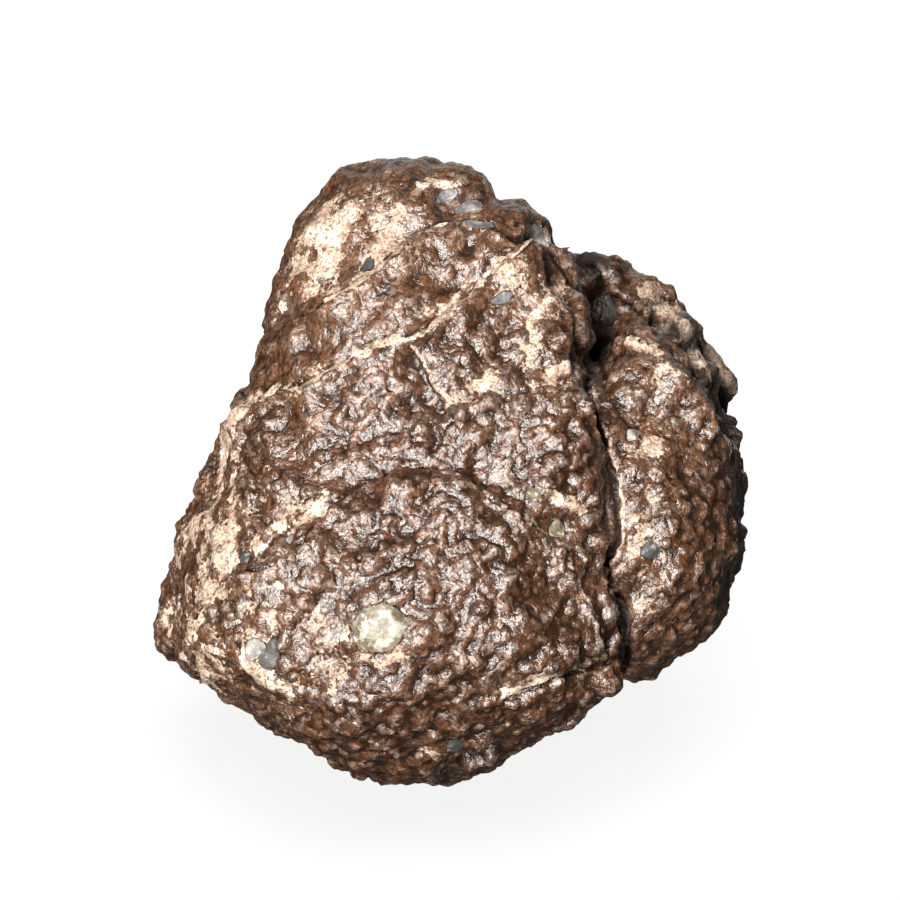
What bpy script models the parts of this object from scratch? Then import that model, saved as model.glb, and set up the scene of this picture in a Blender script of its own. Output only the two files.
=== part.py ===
"""A weathered stony meteorite, one solid stone about 65 mm wide.

The stone is shaped facing the viewer, as the photograph shows it: X to the
right, Y away from the viewer and Z up the picture. It is then tipped back by
LEAN and set down on a flat broken foot. Tables and outlines are millimetres.
"""

import math

import bmesh
import bpy
import numpy as np
from mathutils import Matrix, Vector, noise

MM = 0.001

# How the stone stands
LEAN = math.radians(27)
FOOT_DEPTH = 2.3  # what the flat foot takes off the lowest point
FOOT_BLOCK = 120.0  # side of the block that cuts the foot flat
VIEW_DISTANCE = 620.0  # from the viewer to the middle of the stone
VIEW_HEIGHT = 36.0  # the height up the picture that the viewer looks at

# How finely it is made
LOBE_SEGMENTS = 72
LOBE_RINGS = 56
SKIN_VOXEL = 0.65
SKIN_SMOOTHING = 6
TRIANGLES = 9500

# Each lobe is a table of sections, from its top to its bottom:
# (height, left, right, reach towards the viewer, reach away from the viewer)
MAIN_MASS = (
    (68.0, -5.5, -2.0, 0.5, 1.5),
    (67.0, -10.0, 2.5, 5.0, 6.0),
    (65.5, -13.2, 3.8, 7.5, 9.0),
    (63.5, -14.8, 4.3, 9.0, 11.0),
    (60.5, -17.8, 5.2, 10.5, 13.0),
    (57.0, -18.9, 10.3, 12.5, 15.0),
    (54.0, -19.4, 13.4, 14.0, 16.5),
    (50.0, -20.2, 14.7, 15.5, 18.0),
    (46.0, -21.0, 15.0, 17.0, 20.0),
    (42.5, -22.9, 14.8, 18.0, 21.5),
    (39.0, -24.5, 15.6, 19.0, 23.0),
    (35.0, -25.4, 16.8, 20.5, 24.5),
    (30.5, -28.2, 17.6, 21.5, 25.5),
    (26.0, -30.3, 17.8, 22.0, 26.5),
    (21.5, -31.6, 17.4, 21.5, 27.5),
    (18.5, -32.2, 18.2, 20.5, 28.0),
    (14.5, -31.6, 19.0, 20.0, 28.5),
    (12.5, -29.8, 19.0, 19.5, 28.5),
    (9.5, -24.7, 17.0, 18.0, 28.0),
    (6.5, -19.3, 13.0, 16.0, 25.0),
    (3.0, -14.0, 6.8, 12.5, 18.5),
    (1.4, -11.8, 3.0, 9.5, 14.5),
    (-0.8, -7.5, -1.5, 4.0, 9.0),
)
RIGHT_MASS = (
    (51.5, 21.5, 24.0, -3.0, 8.0),
    (50.5, 20.0, 25.5, 1.0, 10.5),
    (49.0, 18.5, 27.0, 4.5, 13.0),
    (46.0, 16.5, 28.3, 8.0, 16.0),
    (43.5, 14.5, 29.4, 10.5, 17.5),
    (42.0, 9.0, 29.8, 11.0, 18.0),
    (39.0, 6.0, 31.0, 12.5, 20.0),
    (35.0, 3.0, 31.3, 15.0, 21.5),
    (30.5, 1.0, 31.9, 16.5, 22.5),
    (25.0, 0.0, 32.3, 16.8, 23.0),
    (21.5, 0.0, 31.8, 16.0, 23.0),
    (18.5, 1.0, 31.0, 14.8, 22.5),
    (15.0, 3.0, 28.2, 13.5, 21.0),
    (12.5, 5.0, 23.8, 12.0, 19.5),
    (10.5, 7.0, 19.6, 10.0, 17.5),
    (8.5, 9.0, 15.5, 6.0, 14.0),
)
BACK_MASS = (
    (59.2, 10.0, 13.5, -15.0, 17.0),
    (58.3, 6.0, 15.5, -13.5, 19.5),
    (56.2, 2.0, 20.8, -12.5, 21.5),
    (54.2, 0.0, 24.8, -12.0, 23.0),
    (51.0, -3.0, 26.7, -11.5, 24.5),
    (47.5, -6.0, 29.7, -11.0, 26.0),
    (44.5, -8.0, 31.8, -10.0, 27.0),
    (41.5, -10.0, 32.0, -8.0, 28.0),
    (37.0, -12.0, 31.0, -7.5, 28.5),
    (30.5, -14.0, 30.5, -7.0, 29.0),
    (24.0, -15.0, 29.5, -7.0, 29.0),
    (17.5, -14.0, 26.5, -7.0, 28.5),
    (13.0, -12.0, 20.5, -7.0, 27.5),
    (8.5, -8.0, 13.0, -9.0, 25.0),
)
BELLY = (
    (33.5, -6.0, 1.0, 21.0, 0.0),
    (32.0, -13.0, 5.0, 23.0, 0.0),
    (29.0, -18.5, 8.5, 25.0, 0.0),
    (25.5, -22.5, 11.8, 26.5, 0.0),
    (21.5, -25.5, 14.2, 27.5, 0.0),
    (17.0, -27.0, 16.0, 27.7, 0.0),
    (13.0, -26.3, 16.2, 27.0, 0.0),
    (9.0, -21.8, 14.0, 25.0, 0.0),
    (6.0, -17.0, 9.5, 22.0, 0.0),
    (3.2, -12.3, 5.0, 17.5, 0.0),
    (1.2, -9.0, 0.0, 11.5, 0.0),
)
KNOB = (
    (62.4, 4.0, 7.2, 8.0, 0.0),
    (61.4, 1.5, 9.2, 12.5, 2.0),
    (59.8, 0.5, 10.3, 14.5, 4.0),
    (58.3, 2.0, 10.5, 14.5, 4.0),
    (57.1, 5.0, 9.5, 12.5, 2.0),
)
# (name, sections, squareness of the left half, squareness of the right half)
MASSES = (
    ("main_mass", MAIN_MASS, 2.4, 7.0),
    ("right_mass", RIGHT_MASS, 3.0, 2.5),
    ("back_mass", BACK_MASS, 2.3, 2.3),
    ("belly", BELLY, 2.1, 2.2),
    ("knob", KNOB, 2.0, 2.0),
)

# Old broken faces on the hidden sides: (direction, how much they take off)
BROKEN_FACES = (
    ((-0.70, 0.62, 0.35), 3.0),
    ((0.45, 0.85, 0.25), 3.2),
    ((-0.25, 0.95, -0.15), 2.6),
    ((0.62, 0.55, -0.56), 2.8),
    ((-0.35, 0.70, 0.62), 2.5),
)
BREAK_ROUNDING = 0.15  # share of the height that a broken face keeps

# The fissure between the front plates and the mass on the right, from its top
FISSURE = ((15.3, 41.6), (17.2, 34.3), (18.1, 26.1), (17.2, 22.0), (19.0, 17.6), (18.6, 9.9))

# Ledges on the side towards the viewer, as picture places (across, up). What
# is to the right of a line, going along it, stands proud: (line, height, run)
LEDGES = (
    # the head's lower edge
    (((-14.5, 51.5), (-11.5, 53.3), (-7.5, 55.7), (-2.5, 60.0), (3.5, 60.2), (8.5, 58.2)), 1.5, 4.0),
    # the long seam across the stone
    (((-24.0, 38.7), (-16.5, 42.3), (-11.5, 45.2), (-5.5, 47.4), (2.0, 52.3), (8.5, 57.5)), 1.6, 4.5),
    # the shoulder under the middle plate
    (((0.2, 39.4), (2.7, 40.9), (6.6, 41.8), (10.9, 42.3), (14.7, 41.6)), 1.2, 4.0),
    # the branch between the long seam and the shoulder
    (((0.2, 39.4), (-1.3, 43.5), (-4.0, 47.5)), 0.8, 3.0),
    # the belly's right edge
    (((2.2, 32.9), (5.5, 30.1), (9.8, 27.4), (12.6, 24.4), (15.1, 20.1), (16.6, 15.2)), 1.3, 5.0),
    # the belly's left edge
    (((-27.7, 14.6), (-27.1, 17.8), (-24.7, 21.3), (-21.4, 22.5), (-17.5, 23.9)), 1.2, 4.0),
    # the front plates' edge along the fissure
    (FISSURE, 0.8, 3.0),
    # the rim of the slab behind
    (((30.0, 39.5), (27.5, 44.8), (26.2, 47.9), (20.8, 51.2), (12.0, 56.5)), 1.4, 5.0),
)
# Ledges on the side away from the viewer, as seen through the stone
BACK_LEDGES = (
    (((-25.0, 24.0), (-19.0, 23.0), (-14.0, 28.5), (-8.5, 27.5)), 1.3, 5.0),
    (((-4.0, 30.5), (2.5, 34.5), (4.0, 31.5), (11.0, 37.0), (17.5, 36.0)), 1.2, 5.0),
    (((-15.0, 47.0), (-9.5, 42.5), (-4.0, 45.0), (-1.0, 51.5)), 1.1, 4.0),
    (((25.0, 22.0), (19.0, 19.0), (15.0, 21.5), (8.0, 15.0), (2.0, 16.5)), 1.2, 4.5),
    (((2.5, 34.5), (1.0, 40.0), (-4.0, 45.0)), 0.8, 3.5),
)
LEDGE_EDGE = 0.5  # the step itself is about this wide

# Cracks on the side towards the viewer: (line, depth, half width)
CRACKS = (
    (FISSURE, 1.7, 0.7),
    # the crack under the belly
    (((5.5, 9.2), (9.8, 10.8), (13.1, 12.1), (16.6, 13.9)), 1.1, 0.7),
    # the deep hollow behind the upper front plate
    (((10.7, 58.4), (12.7, 56.5), (14.6, 54.1), (15.7, 51.2), (16.2, 48.2), (15.3, 46.6)), 4.0, 1.9),
    # the gap between the right mass and the slab behind it
    (((23.4, 50.7), (25.6, 48.5), (27.3, 46.6), (29.1, 43.6), (30.4, 41.0), (31.1, 38.7)), 3.2, 1.2),
    # the saddle between the head and the knob
    (((-0.3, 63.7), (1.3, 61.6), (3.3, 60.2)), 1.6, 1.3),
)

# The large pale inclusion in the belly: picture place, radius, height
INCLUSION = (-7.6, 16.9, 3.0, 0.7)

# Unevenness all over: (size of a lump, height of a lump)
SWELLS = ((13.0, 1.1), (6.5, 0.6))
PEBBLES = ((6.5, 0.75), (3.6, 0.6))
PEBBLE_REACH = 0.75  # how far a pebble's dome reaches, as a share of its size

STONE_BROWN = (0.085, 0.045, 0.03)


def clear_scene():
    for old in list(bpy.data.objects):
        bpy.data.objects.remove(old, do_unlink=True)


def stone_material():
    """Dark desert varnish with a dull gloss."""
    material = bpy.data.materials.new("varnished_stone")
    material.use_nodes = True
    shader = material.node_tree.nodes["Principled BSDF"]
    shader.inputs["Base Color"].default_value = (*STONE_BROWN, 1.0)
    shader.inputs["Roughness"].default_value = 0.42
    shader.inputs["Metallic"].default_value = 0.0
    return material


def lobe_mesh(table, left_squareness, right_squareness):
    """A sphere whose rings are drawn out to a table of sections."""
    rows = np.array(table)[::-1]
    heights = rows[:, 0]
    mesh = bmesh.new()
    bmesh.ops.create_uvsphere(mesh, u_segments=LOBE_SEGMENTS, v_segments=LOBE_RINGS, radius=1.0)
    for vert in mesh.verts:
        height = heights[0] + (vert.co.z + 1.0) / 2.0 * (heights[-1] - heights[0])
        left, right, near, away = (np.interp(height, heights, rows[:, n]) for n in (1, 2, 3, 4))
        girth = math.hypot(vert.co.x, vert.co.y)
        if girth < 1e-6:
            vert.co = ((left + right) / 2.0, (away - near) / 2.0, height)
            continue
        across, depth = vert.co.x / girth, vert.co.y / girth
        power = 2.0 / (left_squareness if across < 0.0 else right_squareness)
        x = (left + right) / 2.0 + math.copysign(abs(across) ** power, across) * (right - left) / 2.0
        y = (away - near) / 2.0 + math.copysign(abs(depth) ** power, depth) * (away + near) / 2.0
        vert.co = (x, y, height)
    return mesh


def joined_masses():
    """All the lobes in one mesh, still passing through each other."""
    joined = bmesh.new()
    for name, table, left_squareness, right_squareness in MASSES:
        lobe = bpy.data.meshes.new(name)
        part = lobe_mesh(table, left_squareness, right_squareness)
        part.to_mesh(lobe)
        part.free()
        joined.from_mesh(lobe)
        bpy.data.meshes.remove(lobe)
    mesh = bpy.data.meshes.new("stone")
    joined.to_mesh(mesh)
    joined.free()
    return mesh


def settle_modifiers(stone):
    """Replaces the stone's mesh with what its modifiers make of it."""
    bpy.context.view_layer.update()
    graph = bpy.context.evaluated_depsgraph_get()
    settled = bpy.data.meshes.new_from_object(stone.evaluated_get(graph))
    stone.modifiers.clear()
    stone.data = settled


def fuse_masses(stone):
    """Grows one closed skin over the lobes and eases the joins between them."""
    skin = stone.modifiers.new("skin", "REMESH")
    skin.mode = "VOXEL"
    skin.voxel_size = SKIN_VOXEL
    ease = stone.modifiers.new("ease", "SMOOTH")
    ease.factor = 0.5
    ease.iterations = SKIN_SMOOTHING
    settle_modifiers(stone)


def points_and_normals(mesh):
    points = np.empty(len(mesh.vertices) * 3)
    normals = np.empty(len(mesh.vertices) * 3)
    mesh.vertices.foreach_get("co", points)
    mesh.vertices.foreach_get("normal", normals)
    return points.reshape(-1, 3), normals.reshape(-1, 3)


def move_points(mesh, points):
    mesh.vertices.foreach_set("co", points.ravel())
    mesh.update()


def break_faces(stone):
    """Takes the hidden sides down to old, slightly rounded broken faces."""
    points, _ = points_and_normals(stone.data)
    for direction, depth in BROKEN_FACES:
        direction = np.array(direction) / np.linalg.norm(direction)
        reach = points @ direction
        excess = np.clip(reach - (reach.max() - depth), 0.0, None)
        points -= direction * (excess * (1.0 - BREAK_ROUNDING))[:, None]
    move_points(stone.data, points)


def picture_places(points):
    """Where each point is seen in the picture: nearer points spread outwards."""
    middle = np.array((0.0, VIEW_HEIGHT))
    spread = VIEW_DISTANCE / (VIEW_DISTANCE + points[:, 1])
    return middle + (points[:, (0, 2)] - middle) * spread[:, None]


def beside_line(places, line):
    """Distance from each place to a line, and which side it is on: +1 to the right."""
    line = np.array(line)
    nearest = np.full(len(places), np.inf)
    side = np.zeros(len(places))
    for start, end in zip(line[:-1], line[1:]):
        along = end - start
        share = np.clip((places - start) @ along / (along @ along), 0.0, 1.0)
        offset = places - start - share[:, None] * along
        distance = np.hypot(offset[:, 0], offset[:, 1])
        turn = along[1] * (places - start)[:, 0] - along[0] * (places - start)[:, 1]
        closer = distance < nearest
        side[closer] = np.sign(turn[closer])
        nearest = np.minimum(nearest, distance)
    return nearest, side


def within_ends(places, line):
    """1 along a line, fading to 0 past its ends."""
    line = np.array(line)
    fade = np.ones(len(places))
    for end, inner in ((line[0], line[1]), (line[-1], line[-2])):
        outward = (end - inner) / np.linalg.norm(end - inner)
        fade *= np.clip(1.0 - (places - end) @ outward / 2.5, 0.0, 1.0)
    return fade


def ledge_relief(places, ledges):
    relief = np.zeros(len(places))
    for line, height, run in ledges:
        distance, side = beside_line(places, line)
        raised = np.exp(-distance / run) * np.clip(side * distance / LEDGE_EDGE + 0.5, 0.0, 1.0)
        relief += height * raised * within_ends(places, line)
    return relief


def crack_relief(places):
    relief = np.zeros(len(places))
    for line, depth, half_width in CRACKS:
        distance, _ = beside_line(places, line)
        relief -= depth * np.exp(-((distance / half_width) ** 2))
    return relief


def inclusion_relief(places):
    across, up, radius, height = INCLUSION
    reach = np.hypot(places[:, 0] - across, places[:, 1] - up) / radius
    return height * np.sqrt(np.clip(1.0 - reach**2, 0.0, 1.0))


def lump_relief(points):
    """Broad swells, and pebbly domes with creases between them, over the whole stone."""
    relief = np.zeros(len(points))
    for n, point in enumerate(points):
        here = Vector(point)
        for size, height in SWELLS:
            relief[n] += height * noise.noise(here / size)
        for size, height in PEBBLES:
            reach = noise.voronoi(here / size)[0][0] / PEBBLE_REACH
            relief[n] += height * (max(0.0, 1.0 - reach**2) - 0.5)
    return relief


def carve(stone):
    """Moves the skin in and out along its normals."""
    points, normals = points_and_normals(stone.data)
    places = picture_places(points)
    facing = np.clip(-normals[:, 1] * 4.0, 0.0, 1.0)
    averted = np.clip(normals[:, 1] * 4.0, 0.0, 1.0)
    relief = (ledge_relief(places, LEDGES) + crack_relief(places) + inclusion_relief(places)) * facing
    relief += ledge_relief(places, BACK_LEDGES) * averted
    relief += lump_relief(points)
    move_points(stone.data, points + normals * relief[:, None])


def thin_out(stone):
    """Fewer triangles where the stone is plain, more along ledges and cracks."""
    thin = stone.modifiers.new("thin_out", "DECIMATE")
    thin.use_collapse_triangulate = True
    stone.data.calc_loop_triangles()
    thin.ratio = TRIANGLES / len(stone.data.loop_triangles)
    settle_modifiers(stone)


def set_down(stone):
    """Tips the stone back, centres it, and puts its foot on the ground."""
    lean = Matrix.Rotation(-LEAN, 3, "X")
    points, _ = points_and_normals(stone.data)
    standing = points @ np.array(lean).T
    low, high = standing.min(axis=0), standing.max(axis=0)
    stone.rotation_euler = (-LEAN, 0.0, 0.0)
    stone.location = (-(low[0] + high[0]) / 2.0, -(low[1] + high[1]) / 2.0, -low[2] - FOOT_DEPTH)
    print("stone set down at", ",".join(f"{value:.2f}" for value in stone.location))


def cut_foot(stone, helpers):
    """A block under the ground takes the underside off flat."""
    bpy.ops.mesh.primitive_cube_add(size=FOOT_BLOCK, location=(0.0, 0.0, -FOOT_BLOCK / 2.0))
    block = bpy.context.object
    block.name = "foot_block"
    block.hide_render = True
    block.display_type = "WIRE"
    for holder in block.users_collection:
        holder.objects.unlink(block)
    helpers.objects.link(block)
    foot = stone.modifiers.new("flat_foot", "BOOLEAN")
    foot.operation = "DIFFERENCE"
    foot.solver = "EXACT"
    foot.object = block


def in_metres(*objects):
    """The tables are millimetres, and the finished objects are metres."""
    for each in objects:
        each.data.transform(Matrix.Scale(MM, 4))
        each.location = each.location * MM


def main():
    clear_scene()
    collection = bpy.data.collections.new("meteorite")
    helpers = bpy.data.collections.new("cutters")
    bpy.context.scene.collection.children.link(collection)
    bpy.context.scene.collection.children.link(helpers)
    stone = bpy.data.objects.new("stone", joined_masses())
    collection.objects.link(stone)
    fuse_masses(stone)
    break_faces(stone)
    carve(stone)
    thin_out(stone)
    stone.data.materials.append(stone_material())
    set_down(stone)
    cut_foot(stone, helpers)
    in_metres(stone, helpers.objects["foot_block"])
    stone.data.shade_smooth()


main()
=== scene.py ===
# %% [markdown]
# # A weathered stony meteorite
#
# This lesson dresses one stone. A stony meteorite is packed with round beads
# of rock, and years in a desert have polished it, stained it dark brown, and
# filled its hollows with a cream crust of lime. The solid stone is loaded as
# a fixed frame. A finer skin is grown over it, cell by cell, and then given
# its colours and its gloss.

# %% Load the fixed frame
import math

import bpy
import numpy as np
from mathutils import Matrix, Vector, kdtree, noise


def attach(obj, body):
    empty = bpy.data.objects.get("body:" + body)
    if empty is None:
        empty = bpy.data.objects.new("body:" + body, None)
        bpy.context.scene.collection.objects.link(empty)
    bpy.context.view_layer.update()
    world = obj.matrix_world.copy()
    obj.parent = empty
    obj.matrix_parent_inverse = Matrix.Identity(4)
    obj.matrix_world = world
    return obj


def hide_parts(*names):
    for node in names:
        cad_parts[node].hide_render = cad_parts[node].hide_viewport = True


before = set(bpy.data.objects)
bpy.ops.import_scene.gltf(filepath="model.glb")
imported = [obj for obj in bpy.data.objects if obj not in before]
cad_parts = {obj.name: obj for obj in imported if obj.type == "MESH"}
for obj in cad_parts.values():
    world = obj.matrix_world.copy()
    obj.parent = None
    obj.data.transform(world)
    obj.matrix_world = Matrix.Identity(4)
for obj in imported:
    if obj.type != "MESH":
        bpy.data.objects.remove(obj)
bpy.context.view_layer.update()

MM = 0.001
SEED = 1859
rng = np.random.default_rng(SEED)

# %% [markdown]
# ## Where the viewer stands
#
# The picture looks down on the stone by about 27 degrees. A long lens from
# 620 mm away keeps the stone's outline close to the picture's. The camera
# could be turned by eye, but here it is worked out from the place that the
# picture's middle shows, because the same numbers also tell where a place in
# the picture falls on the stone.

# %% The viewer's place
PICTURE = 900  # pixels, both ways
MM_PER_PIXEL = 0.10924  # at the stone's middle
VIEW_DOWN = math.radians(27)
VIEW_DISTANCE = 620.0  # mm
VIEW_TARGET = np.array((-0.18, 2.79, 36.42))  # mm: what the middle of the picture shows

view_forward = np.array((0.0, math.cos(VIEW_DOWN), -math.sin(VIEW_DOWN)))
view_up = np.array((0.0, math.sin(VIEW_DOWN), math.cos(VIEW_DOWN)))
viewer = VIEW_TARGET - view_forward * VIEW_DISTANCE
print("the viewer stands at", viewer.round(1), "mm")

# %% The camera
SENSOR = 36.0  # mm
NEAREST_SEEN = 0.01  # m

camera_data = bpy.data.cameras.new("camera")
camera_data.sensor_width = SENSOR
camera_data.lens = SENSOR * VIEW_DISTANCE / (PICTURE * MM_PER_PIXEL)
camera_data.clip_start = NEAREST_SEEN
camera = bpy.data.objects.new("camera", camera_data)
camera.location = viewer * MM
camera.rotation_euler = (math.pi / 2 - VIEW_DOWN, 0.0, 0.0)
bpy.context.scene.collection.objects.link(camera)
bpy.context.scene.camera = camera
bpy.context.scene.view_settings.view_transform = "Standard"
print("lens:", round(camera_data.lens, 1), "mm")

# %% Where a point shows in the picture


def picture_places(points):
    """The pixel at which each point (mm) is seen: across from the left, down from the top."""
    offset = points - viewer
    pixels_per_mm = VIEW_DISTANCE / (offset @ view_forward) / MM_PER_PIXEL
    across = PICTURE / 2 + offset[:, 0] * pixels_per_mm
    down = PICTURE / 2 - (offset @ view_up) * pixels_per_mm
    return np.stack((across, down), axis=1)


print("the target shows at pixel", picture_places(VIEW_TARGET[None, :])[0].round(1))

# %% [markdown]
# ## A fine skin over the solid
#
# The solid has about 9,500 triangles, enough for its lumps and ledges. The
# beads on it are only a millimetre across, so the skin needs many more. A
# voxel remesh grows an even, closed skin of small squares over the solid.
# Subdividing would keep the solid's long triangles, and their edges would
# show. A few rounds of smoothing then melt what is left of the flat facets.

# %% Grow the skin
SKIN_VOXEL = 0.27  # mm
SMOOTHING = 0.5  # of the way to a point's neighbours
SMOOTHING_ROUNDS = 22


def settle_modifiers(piece):
    """Replaces a piece's mesh with what its modifiers make of it."""
    bpy.context.view_layer.update()
    graph = bpy.context.evaluated_depsgraph_get()
    settled = bpy.data.meshes.new_from_object(piece.evaluated_get(graph))
    piece.modifiers.clear()
    piece.data = settled


skin = bpy.data.objects.new("stone_surface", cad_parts["stone"].data.copy())
skin.data.materials.clear()
bpy.context.scene.collection.objects.link(skin)
remesh = skin.modifiers.new("skin", "REMESH")
remesh.mode = "VOXEL"
remesh.voxel_size = SKIN_VOXEL * MM
melt = skin.modifiers.new("melt_facets", "SMOOTH")
melt.factor = SMOOTHING
melt.iterations = SMOOTHING_ROUNDS
settle_modifiers(skin)
print("squares in the skin:", len(skin.data.polygons))

# %% Read the skin's points
FACING_GAIN = 3.0  # how fast the seen side fades out
FACING_AT_EDGE = 0.1  # what is left of it at the outline


def vertex_values(mesh, name):
    """Three numbers for each point of a mesh, one row a point."""
    values = np.empty(len(mesh.vertices) * 3)
    mesh.vertices.foreach_get(name, values)
    return values.reshape(-1, 3)


points = vertex_values(skin.data, "co") / MM
normals = vertex_values(skin.data, "normal")
places = picture_places(points)
facing = np.clip(-(normals @ view_forward) * FACING_GAIN + FACING_AT_EDGE, 0.0, 1.0)
print("skin points:", len(points), "of which seen in the picture:", int((facing > 0.5).sum()))

# %% [markdown]
# ## Reading lines and patches off the picture
#
# Ledges, seams and patches of crust were picked out and are held here
# as a few picture places each. A painted mask could do the same, but lines
# with a width are easy to move and to read.
# same way: how far is each point of the skin from it, and on which side? The
# picture shows only one side of the stone, so what comes from it fades out
# where the skin turns away from the viewer.

# %% Distance from a line


def beside_line(line):
    """Distance in mm from each point to a line of picture places, and its side: +1 to the right."""
    line = np.array(line, float)
    nearest = np.full(len(places), np.inf)
    side = np.zeros(len(places))
    for start, end in zip(line[:-1], line[1:]):
        along = end - start
        share = np.clip((places - start) @ along / (along @ along), 0.0, 1.0)
        offset = places - start - share[:, None] * along
        distance = np.hypot(offset[:, 0], offset[:, 1]) * MM_PER_PIXEL
        turn = along[0] * (places - start)[:, 1] - along[1] * (places - start)[:, 0]
        closer = distance < nearest
        side[closer] = np.sign(turn[closer])
        nearest = np.minimum(nearest, distance)
    return nearest, side


def bell(distance, half_width):
    """1 where the distance is 0, and next to nothing from twice the half width on."""
    return np.exp(-((distance / half_width) ** 2))


print("half a width away, a bell is still", round(float(bell(0.5, 1.0)), 2), "high")

# %% Distance from a spot


def beside_spot(across, down, wide, high, turn=0.0):
    """Distance from an oval spot's middle, as a share of the way to its rim."""
    offset = (places - (across, down)) * MM_PER_PIXEL
    cosine, sine = math.cos(math.radians(turn)), math.sin(math.radians(turn))
    x = (offset[:, 0] * cosine + offset[:, 1] * sine) / (wide * MM_PER_PIXEL / 2)
    y = (offset[:, 1] * cosine - offset[:, 0] * sine) / (high * MM_PER_PIXEL / 2)
    return np.hypot(x, y)


print("spots are measured at", len(places), "points")

# %% [markdown]
# ## Natural unevenness
#
# Nothing on a stone is straight or even. Random numbers alone would look like
# hiss, so the unevenness here is fractal noise: lumps of one size, with
# smaller lumps on them. Each use shifts the noise, so that no two patterns
# agree. The first use bends the picture's lines, which look ruled without it.

# %% Noise, and lines that wander
NOISE_FALL = 1.0  # how fast the finer lumps get lower
NOISE_STEP = 2.0  # how much finer each octave is
WANDER = 3.0  # pixels
WANDER_SIZE = 2.2  # mm


def rough(at, size, octaves=3, shift=0.0):
    """Natural unevenness between about -1 and 1, with lumps of the given size in mm."""
    scaled = at / size + shift
    return np.array([noise.fractal(Vector(p), NOISE_FALL, NOISE_STEP, octaves) for p in scaled])


sideways = rough(points, WANDER_SIZE, 2, 11.0)
downwards = rough(points, WANDER_SIZE, 2, 37.0)
wander = WANDER * np.stack((sideways, downwards), axis=1)
places = places + wander
print("lines wander by up to", round(float(np.abs(wander).max()), 1), "pixels")

# %% [markdown]
# ## Ledges
#
# The stone is built of plates, and each plate's edge stands a little proud of
# its neighbour. A ledge is a step that rises sharply at its line and then
# sinks back over a few millimetres. The low side gets a fine groove, as the
# weather works deepest there. Cutting each plate out as a piece of its own
# would give harder edges than weathered stone has.

# %% The ledges' lines
# (what it is, line, height in mm, how far the raised side runs back in mm)
LEDGES = (
    ("head's lower edge", (
        (316, 308), (345, 292), (380, 269), (405, 247), (428, 230), (455, 225), (485, 228), (512, 241),
        (530, 247)), 0.8, 2.2),
    ("long seam", (
        (228, 425), (245, 408), (270, 402), (300, 390), (345, 365), (378, 346), (408, 338), (440, 321),
        (470, 299), (492, 270), (515, 247), (540, 236)), 0.9, 2.6),
    ("shoulder", (
        (440, 445), (452, 420), (462, 408), (480, 398), (510, 393), (550, 390), (585, 398)), 0.7, 2.5),
    ("branch", ((452, 420), (440, 396), (424, 372), (410, 343)), 0.45, 1.8),
    ("belly's right edge", (
        (452, 470), (470, 484), (492, 503), (515, 516), (543, 535), (562, 556), (577, 585), (592, 612),
        (602, 645)), 0.8, 2.6),
    ("belly's left edge", (
        (205, 688), (200, 668), (194, 645), (200, 618), (218, 592), (232, 576), (262, 570), (285, 558),
        (305, 545)), 0.9, 2.2),
    ("left flank step", ((240, 400), (246, 430), (243, 455), (254, 480), (250, 508), (262, 520)), 0.5, 2.0),
    ("upper belly swell", ((300, 545), (318, 520), (340, 498), (372, 480), (410, 470), (452, 470)), 0.5, 2.4),
    ("crack under the belly", ((618, 655), (590, 668), (560, 676), (530, 690), (505, 700)), 0.5, 2.0),
    ("plate edge at the fissure", (
        (578, 360), (588, 378), (586, 396), (598, 430), (607, 465), (613, 500), (617, 536), (606, 562),
        (611, 590), (624, 618), (628, 655), (616, 688)), 0.55, 2.0),
    ("right mass, upper shelf", ((602, 345), (630, 335), (662, 352), (690, 380), (722, 400)), 0.5, 1.8),
    ("right mass, slanting edge", ((612, 405), (628, 428), (645, 452), (668, 478)), 0.4, 1.8),
    ("slab's inner rim", ((735, 410), (712, 372), (690, 345), (640, 310), (600, 290), (562, 262)), 0.6, 2.0),
)
print(len(LEDGES), "ledges")

# %% Raise the ledges
LEDGE_EDGE = 0.16  # mm: half the width of the step itself
LOW_SIDE_DEPTH = 0.35  # of the ledge's height
LOW_SIDE_WIDTH = 0.5  # mm

ledges = np.zeros(len(points))
for _, line, height, run in LEDGES:
    distance, side = beside_line(line)
    rise = np.clip(side * distance / LEDGE_EDGE * 0.5 + 0.5, 0.0, 1.0)
    ledges += height * rise * np.exp(-distance / run)
    ledges -= LOW_SIDE_DEPTH * height * (1.0 - rise) * bell(distance, LOW_SIDE_WIDTH)
print("ledges rise by up to", round(float(ledges.max()), 2), "mm")

# %% [markdown]
# ## The lip of the front plate
#
# On its right the front plate ends in a thick lip that overhangs a hollow. For
# a real overhang the skin would have to fold under itself. The camera never
# sees below the lip, so a low ridge along the plate's edge is enough.

# %% Raise the lip
LIP = ((541, 240), (560, 262), (572, 285), (577, 312), (580, 340))
LIP_HEIGHT = 1.3  # mm
LIP_REACH = 1.0

lip_distance, _ = beside_line(LIP)
ledges += LIP_HEIGHT * bell(lip_distance, LIP_REACH)
ledges *= facing
print("with the lip they rise by up to", round(float(ledges.max()), 2), "mm")

# %% [markdown]
# ## Cracks, the fissure and the hollows
#
# The fissure parts the plates from the mass on the right. A hollow lies behind
# the front plate, and a gap before the slab. A Boolean cut would leave clean
# walls, so they are grooves with soft shoulders, along lines like the ledges'.

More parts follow.
